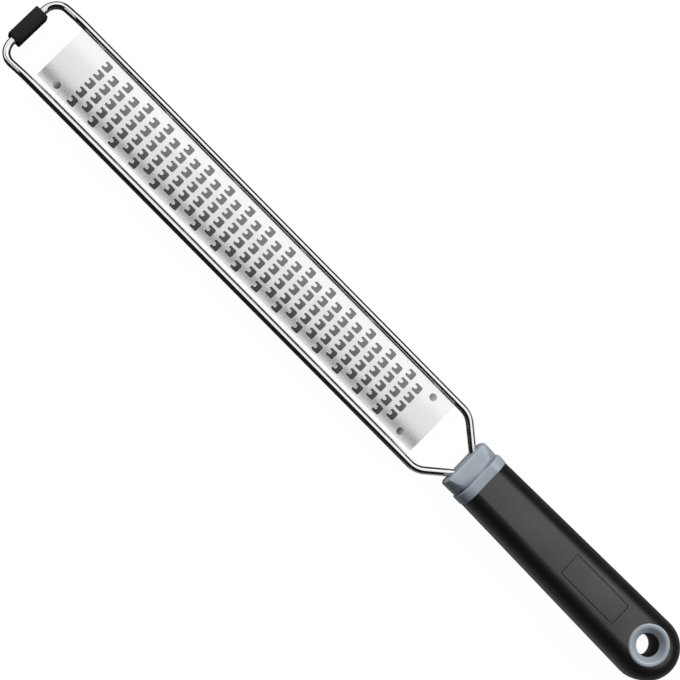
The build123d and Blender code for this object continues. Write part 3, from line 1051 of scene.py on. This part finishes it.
# %% Grip
def make_grip():
    """Sides, faces, panel and end joined. The crown lowers the top by crown * (y / half)^2."""
    outline, normals, side_count = grip_outline()
    insets, heights = grip_profile()
    plan = outline[:, None] - insets[:, None] * normals[:, None]
    sides = stacked(plan[..., 0], plan[..., 1], heights)
    side_quads = grid_quads(*sides.shape[:2])

    face_count = side_count - SIDE_POINTS_AT_END
    x = outline[:face_count, 0]
    face_points, face_quads = main_face(x, THICKNESS)
    middle = face_points.reshape(-1, 3)[face_quads].mean(axis=1)
    in_panel = (np.abs(middle[:, :2] - (PANEL_X, 0.0)) < PANEL_BORDER).all(axis=1)
    under_points, under_quads = main_face(x, 0.0)

    around = plan[face_count - 1:len(outline) - face_count + 1, 0]
    end_loop = np.concatenate([face_points[-1, :-1, :2], around[:-1]])
    front = np.concatenate([sides[0], under_points[0, ::-1], sides[-1, ::-1], face_points[0]])
    front_middle = np.array([GRIP_X, 0, THICKNESS / 2])
    cap = [front_middle + share * (front - front_middle) for share in (0.0, 0.5, 1.0)]
    points, quads = join_parts([
        (sides.reshape(-1, 3), side_quads),
        (face_points.reshape(-1, 3), face_quads[~in_panel]),
        (under_points.reshape(-1, 3), under_quads),
        panel_rings(),
        end_rings(end_loop),
        shell(cap),
    ])
    upper = np.clip(2 * points[:, 2] / THICKNESS - 1, 0, 1)
    points[:, 2] -= TOP_CROWN * upper * (points[:, 1] / FRONT_HALF) ** 2
    mesh = make_mesh("grip_skin", points, quads)
    piece = add_piece("grip_skin", mesh, SOFT_TOUCH, "soft_touch", "soft_grip")
    return soften_edges(piece, width=0.1, angle=40.0)


grip = make_grip()

# %% [markdown]
# ## Hang rings
# A countersunk bezel sits in each end of the hang hole. A profile turned round the hole's axis
# gives it: up the outside, over a full round rim, down the cone, and into the bore.

# %% Hang rings
RING_SIDES = 72
RING_PROFILE = np.array([
    (6.4, 0.0, 15.4), (8.2, 0.0, 15.4), (8.2, 0.0, 18.0), (6.6, 0.0, 18.0),
    (4.45, 0.0, 15.95), (4.45, 0.0, 15.4), (6.4, 0.0, 15.4),
])
RING_ROUNDINGS = (0.1, 0.7, 1.4, 0.6, 0.1)


def make_ring(name, node, below):
    """Turn the profile round the axis: x = axis + r * cos(a), y = r * sin(a)."""
    radius, _, height = rounded_route(RING_PROFILE, RING_ROUNDINGS).T
    if below:
        height = THICKNESS - height
    radius, height, angle = radius[:, None], height[:, None], full_turn(RING_SIDES)
    rings = stacked(SEAT_X + radius * np.cos(angle), radius * np.sin(angle), height)
    mesh = make_mesh(name, *shell(rings))
    return add_piece(name, mesh, GREY_PLASTIC, "grey_plastic", node)


bezel_top = make_ring("bezel_top", "hang_ring_top", below=False)
bezel_bottom = make_ring("bezel_bottom", "hang_ring_bottom", below=True)

# %% [markdown]
# ## Weld beads
# Short beads under the plate's edges hold it to the rod. A bead is a tube along X whose radius
# falls to nothing at both ends and ripples where each drop of metal froze.

# %% Weld beads
BEAD_COUNT = 6
BEAD_RADIUS = 0.8
BEAD_HALF = 2.0
BEAD_Y = 12.5
BEAD_Z = 9.3
BEAD_INSET = 9.0
RIPPLES = 7
RIPPLE_SHARE = 0.05


def make_beads():
    """Beads in a row on each side.

    Along a bead u goes from -1 to 1, and the radius is
    full * (1 - u^4)^0.5 * (1 - share + share * |cos(pi * ripples * u / 2)|).
    """
    u = np.linspace(-1, 1, 43)[:, None]
    angle = full_turn(14)
    ripple = RIPPLE_SHARE * np.abs(np.cos(np.pi * RIPPLES * u / 2))
    radius = BEAD_RADIUS * np.sqrt(np.clip(1 - u ** 4, 0, 1)) * (1 - RIPPLE_SHARE + ripple)
    bead = stacked(BEAD_HALF * u, radius * np.cos(angle), radius * np.sin(angle))
    first = PLATE_TIP_X + BEAD_INSET
    last = PLATE_TIP_X + PLATE_LENGTH - BEAD_INSET
    along = np.linspace(first, last, BEAD_COUNT)
    places = [(x, side * BEAD_Y, BEAD_Z) for x in along for side in (-1, 1)]
    mesh = make_mesh("weld_beads", *join_parts([shell(bead + place) for place in places]))
    return add_piece("weld_beads", mesh, WELD, "weld_steel", "plate_welds")


make_beads()

# %% [markdown]
# ## Handle core
# Only the bore of the core is seen. Its solid has the right shape and stays, with a black plastic
# material in its slots.

# %% Handle core
core_mesh = nodes["handle_core"].data
core_mesh.materials.clear()
core_mesh.materials.append(BLACK_PLASTIC)
print("handle core:", len(core_mesh.polygons), "faces kept")

# %% [markdown]
# ## Studio
# Steel shows what stands round it, so the lamps are placed by what each surface mirrors. Soft
# boxes overhead and on the +Y side give the rods their bright bands and the arch its pale side.
# The -Y side stays dark above the camera's height, which draws the black bands along the rods and
# the soft dark stripe along the arch. Below that stripe a panel leans in for the blade's border.
# The grip, the collar and the bezels mirror little, and have soft light of their own. Light
# linking keeps a lamp to the pieces it is meant for, as flags and grids do in a real studio. Each
# lamp's strength is written as the radiance that a mirror shows.

# %% Studio lengths
LAMP_HEIGHT = 1.0
LAMP_LENGTH = 2.5
LAMP_X = -0.35
NEAR_OVERHEAD_Y = (-0.215, 0.0)
OVERHEAD_Y = (0.0, 0.53)
FAR_Y = (0.53, 1.6)
PANEL_Y = 1.7
PANEL_Z = 0.5
END_PANEL_X = -1.65
FACING_SIDE = (-90, 0)
FACING_HANDLE = (0, -90)
print(f"lamps hang {LAMP_HEIGHT:.0f} m above the floor")


# %% Lamp helpers
def link_light(lamp, objects, state):
    """Let a lamp light only these objects (INCLUDE), or all but these (EXCLUDE)."""
    receivers = bpy.data.collections.new(f"{lamp.name} {state.lower()}")
    for piece in objects:
        receivers.objects.link(piece)
    for item in receivers.collection_objects:
        item.light_linking.link_state = state
    lamp.light_linking.receiver_collection = receivers


def soft_box(name, place, size, radiance, lean=(0.0, 0.0), only=(), without=()):
    """A rectangular lamp that faces down before it leans about X and Y.

    Its power is pi * area * radiance, so a mirror shows it at that radiance.
    """
    data = bpy.data.lights.new(name, "AREA")
    data.shape = "RECTANGLE"
    data.size, data.size_y = size
    data.energy = np.pi * size[0] * size[1] * radiance
    lamp = bpy.data.objects.new(name, data)
    lamp.location = place
    lamp.rotation_euler = (np.radians(lean[0]), np.radians(lean[1]), 0)
    lamp.visible_camera = False
    bpy.context.scene.collection.objects.link(lamp)
    if only:
        link_light(lamp, only, "INCLUDE")
    if without:
        link_light(lamp, without, "EXCLUDE")
    return lamp


def ceiling_box(name, y_range, radiance, **links):
    """A soft box at lamp height between two y values."""
    middle, depth = sum(y_range) / 2, y_range[1] - y_range[0]
    return soft_box(name, (LAMP_X, middle, LAMP_HEIGHT), (LAMP_LENGTH, depth), radiance, **links)


# %% Lamps
bezels = [bezel_top, bezel_bottom]
handle = [grip, collar, *bezels]
ceiling_box("near overhead box", NEAR_OVERHEAD_Y, radiance=0.95, without=[wire, *handle])
ceiling_box("overhead box", OVERHEAD_Y, radiance=0.97, without=handle)
ceiling_box("far box", FAR_Y, radiance=1.2, without=handle)
soft_box("side panel", place=(LAMP_X, PANEL_Y, PANEL_Z), size=(LAMP_LENGTH, 1.0),
         radiance=1.25, lean=FACING_SIDE, without=[wire, *handle])
soft_box("high side panel", place=(LAMP_X, PANEL_Y, 0.95), size=(LAMP_LENGTH, 0.1),
         radiance=1.25, lean=FACING_SIDE, only=[wire])
soft_box("end panel", place=(END_PANEL_X, 0.25, PANEL_Z), size=(1.0, 2.9),
         radiance=1.0, lean=FACING_HANDLE, without=handle)
soft_box("corner box", place=(-1.3, -0.8, LAMP_HEIGHT), size=(0.7, 0.9),
         radiance=0.8, only=[wire])
soft_box("border panel", place=(LAMP_X, -0.787, 0.482), size=(LAMP_LENGTH, 1.23),
         radiance=1.3, lean=(55.6, 0), only=[blade])
ceiling_box("grip box", y_range=(0.06, 0.55), radiance=4.0, only=[grip])
ceiling_box("collar box", y_range=(0.35, 1.05), radiance=5.3, only=[collar])
soft_box("bezel box", place=(0.1, 0.82, LAMP_HEIGHT), size=(1.2, 0.8),
         radiance=9.8, only=bezels)
soft_box("collar panel", place=(END_PANEL_X, 0.8, PANEL_Z), size=(1.0, 1.6),
         radiance=5.4, lean=FACING_HANDLE, only=[collar])
print("soft boxes:", ", ".join(sorted(lamp.name for lamp in bpy.data.lights)))

# %% [markdown]
# ## Floor, cards and sky
# The floor glows white where it is seen, and a dark patch under the blade stands for the shade
# that close contact leaves there. Dark cards lie on the floor and round the studio for reflections
# only, and the floor is plain grey for the light that it passes on.


# %% Stage helpers
def staged(name, points, quads, material, cast=True):
    """Put a stage piece in the scene. One that doesn't cast is seen in reflections only."""
    mesh = bpy.data.meshes.new(name)
    mesh.from_pydata(np.asarray(points, float).tolist(), [], np.asarray(quads).tolist())
    mesh.materials.append(material)
    mesh.shade_smooth()
    made = bpy.data.objects.new(name, mesh)
    bpy.context.scene.collection.objects.link(made)
    if not cast:
        made.visible_camera = made.visible_diffuse = made.visible_shadow = False
        made.visible_transmission = made.visible_volume_scatter = False
    return made


def seen_directly(tree):
    """1 for rays from the camera, off a glossy surface or through glass, and 0 for the others."""
    path = tree.nodes.new("ShaderNodeLightPath")
    first = math_node(tree, "MAXIMUM", path.outputs["Is Camera Ray"], path.outputs["Is Glossy Ray"])
    return math_node(tree, "MAXIMUM", first, path.outputs["Is Transmission Ray"])


def ramp(tree, value, start, end, first=0.0, last=1.0):
    """A smooth step from one value to another, between two places in millimetres."""
    limits = {"From Min": start * MM, "From Max": end * MM, "To Min": first, "To Max": last}
    return add_node(
        tree, "ShaderNodeMapRange", {"Value": value, **limits}, interpolation_type="SMOOTHSTEP"
    ).outputs[0]


# %% Floor material
SHADE_RISE_X = (PLATE_TIP_X + 0.5, PLATE_TIP_X + 8.5)
SHADE_FALL_X = (PLATE_TIP_X + PLATE_LENGTH - 8.0, PLATE_TIP_X + PLATE_LENGTH)
SHADE_NEAR_Y = (-14.0, -11.0)
SHADE_FAR_Y = (12.0, 16.5)
SHADE_DEPTH_Y = (-8.0, 9.0)
SHADE_DEPTHS = (0.96, 0.8)
FLOOR_GLOW = 0.97
FLOOR_SEEN = (0.06, 0.06, 0.06, 1.0)
FLOOR_FOR_LIGHT = (0.25, 0.25, 0.25, 1.0)


def make_floor_material():
    """White where it is seen, with a painted shade under the blade, and plain for light."""
    material = bpy.data.materials.new("white floor")
    tree = empty_tree(material)
    split = add_node(tree, "ShaderNodeSeparateXYZ", {0: object_place(tree)})
    along, across = split.outputs["X"], split.outputs["Y"]
    # Painted shade: a patch under the blade, soft at its edges and deepest towards -Y, darkens the
    # glow.
    rise, fall = ramp(tree, along, *SHADE_RISE_X), ramp(tree, along, *SHADE_FALL_X, 1.0, 0.0)
    near, far = ramp(tree, across, *SHADE_NEAR_Y), ramp(tree, across, *SHADE_FAR_Y, 1.0, 0.0)
    depth = ramp(tree, across, *SHADE_DEPTH_Y, *SHADE_DEPTHS)
    along_shade = math_node(tree, "MULTIPLY", rise, fall)
    across_shade = math_node(tree, "MULTIPLY", near, far)
    under = math_node(tree, "MULTIPLY", along_shade, across_shade)
    shade = math_node(tree, "SUBTRACT", 1.0, math_node(tree, "MULTIPLY", under, depth))
    glow = add_node(tree, "ShaderNodeEmission", {"Color": shade, "Strength": FLOOR_GLOW})
    plain = add_node(tree, "ShaderNodeBsdfDiffuse", {"Color": FLOOR_FOR_LIGHT})
    lit = add_node(tree, "ShaderNodeBsdfDiffuse", {"Color": FLOOR_SEEN})
    seen = add_node(tree, "ShaderNodeAddShader", {0: glow.outputs[0], 1: lit.outputs[0]})
    parts = {0: seen_directly(tree), 1: plain.outputs[0], 2: seen.outputs[0]}
    mixed = add_node(tree, "ShaderNodeMixShader", parts)
    add_node(tree, "ShaderNodeOutputMaterial", {"Surface": mixed.outputs[0]})
    return material


# %% Floor, cards and dome
STUDIO_RADIUS = 2.4
FLOOR_HALF = 30.0
CARD_EDGE_X = 0.05
CARD_Z = 0.00005


def make_card_material(name, strength):
    """An even glow, for what reflections show."""
    material = bpy.data.materials.new(name)
    tree = empty_tree(material)
    glow = add_node(tree, "ShaderNodeEmission", {"Color": (1, 1, 1, 1), "Strength": strength})
    add_node(tree, "ShaderNodeOutputMaterial", {"Surface": glow.outputs[0]})
    return material


def strip(start_x, end_x, z, half_y=STUDIO_RADIUS):
    """A level rectangle between two x values."""
    corners = [(start_x, -half_y, z), (end_x, -half_y, z), (end_x, half_y, z), (start_x, half_y, z)]
    return corners, [(0, 1, 2, 3)]


def dome(radius, rows=16, columns=48):
    """Half a sphere: (cos(b) cos(a), cos(b) sin(a), sin(b)) * radius."""
    a, b = full_turn(columns), np.linspace(0, np.pi / 2 - 0.01, rows)[:, None]
    return shell(radius * stacked(np.cos(b) * np.cos(a), np.cos(b) * np.sin(a), np.sin(b)))


staged("floor", *strip(-FLOOR_HALF, FLOOR_HALF, 0.0, half_y=FLOOR_HALF), make_floor_material())
cards = {
    "dark floor card": (*strip(-STUDIO_RADIUS, CARD_EDGE_X, CARD_Z), "dark card", 0.02),
    "grey floor card": (*strip(CARD_EDGE_X, STUDIO_RADIUS, CARD_Z), "grey card", 0.3),
    "dark dome": (*dome(STUDIO_RADIUS), "darker card", 0.01),
}
for name, (points, quads, finish, strength) in cards.items():
    staged(name, points, quads, make_card_material(finish, strength), cast=False)
print("stage pieces: floor,", ", ".join(cards))


# %% World
SKY_FILL = 0.1


def make_world():
    """White where it is seen, and a soft grey fill for the light."""
    world = bpy.data.worlds.new("studio")
    bpy.context.scene.world = world
    tree = empty_tree(world)
    strength = math_node(tree, "MULTIPLY_ADD", seen_directly(tree), 1 - SKY_FILL, SKY_FILL)
    sky = add_node(tree, "ShaderNodeBackground", {"Color": (1, 1, 1, 1), "Strength": strength})
    add_node(tree, "ShaderNodeOutputWorld", {"Surface": sky.outputs[0]})


make_world()
bpy.context.scene.view_settings.view_transform = "Standard"
print("sky: white where it is seen,", SKY_FILL, "for the light")
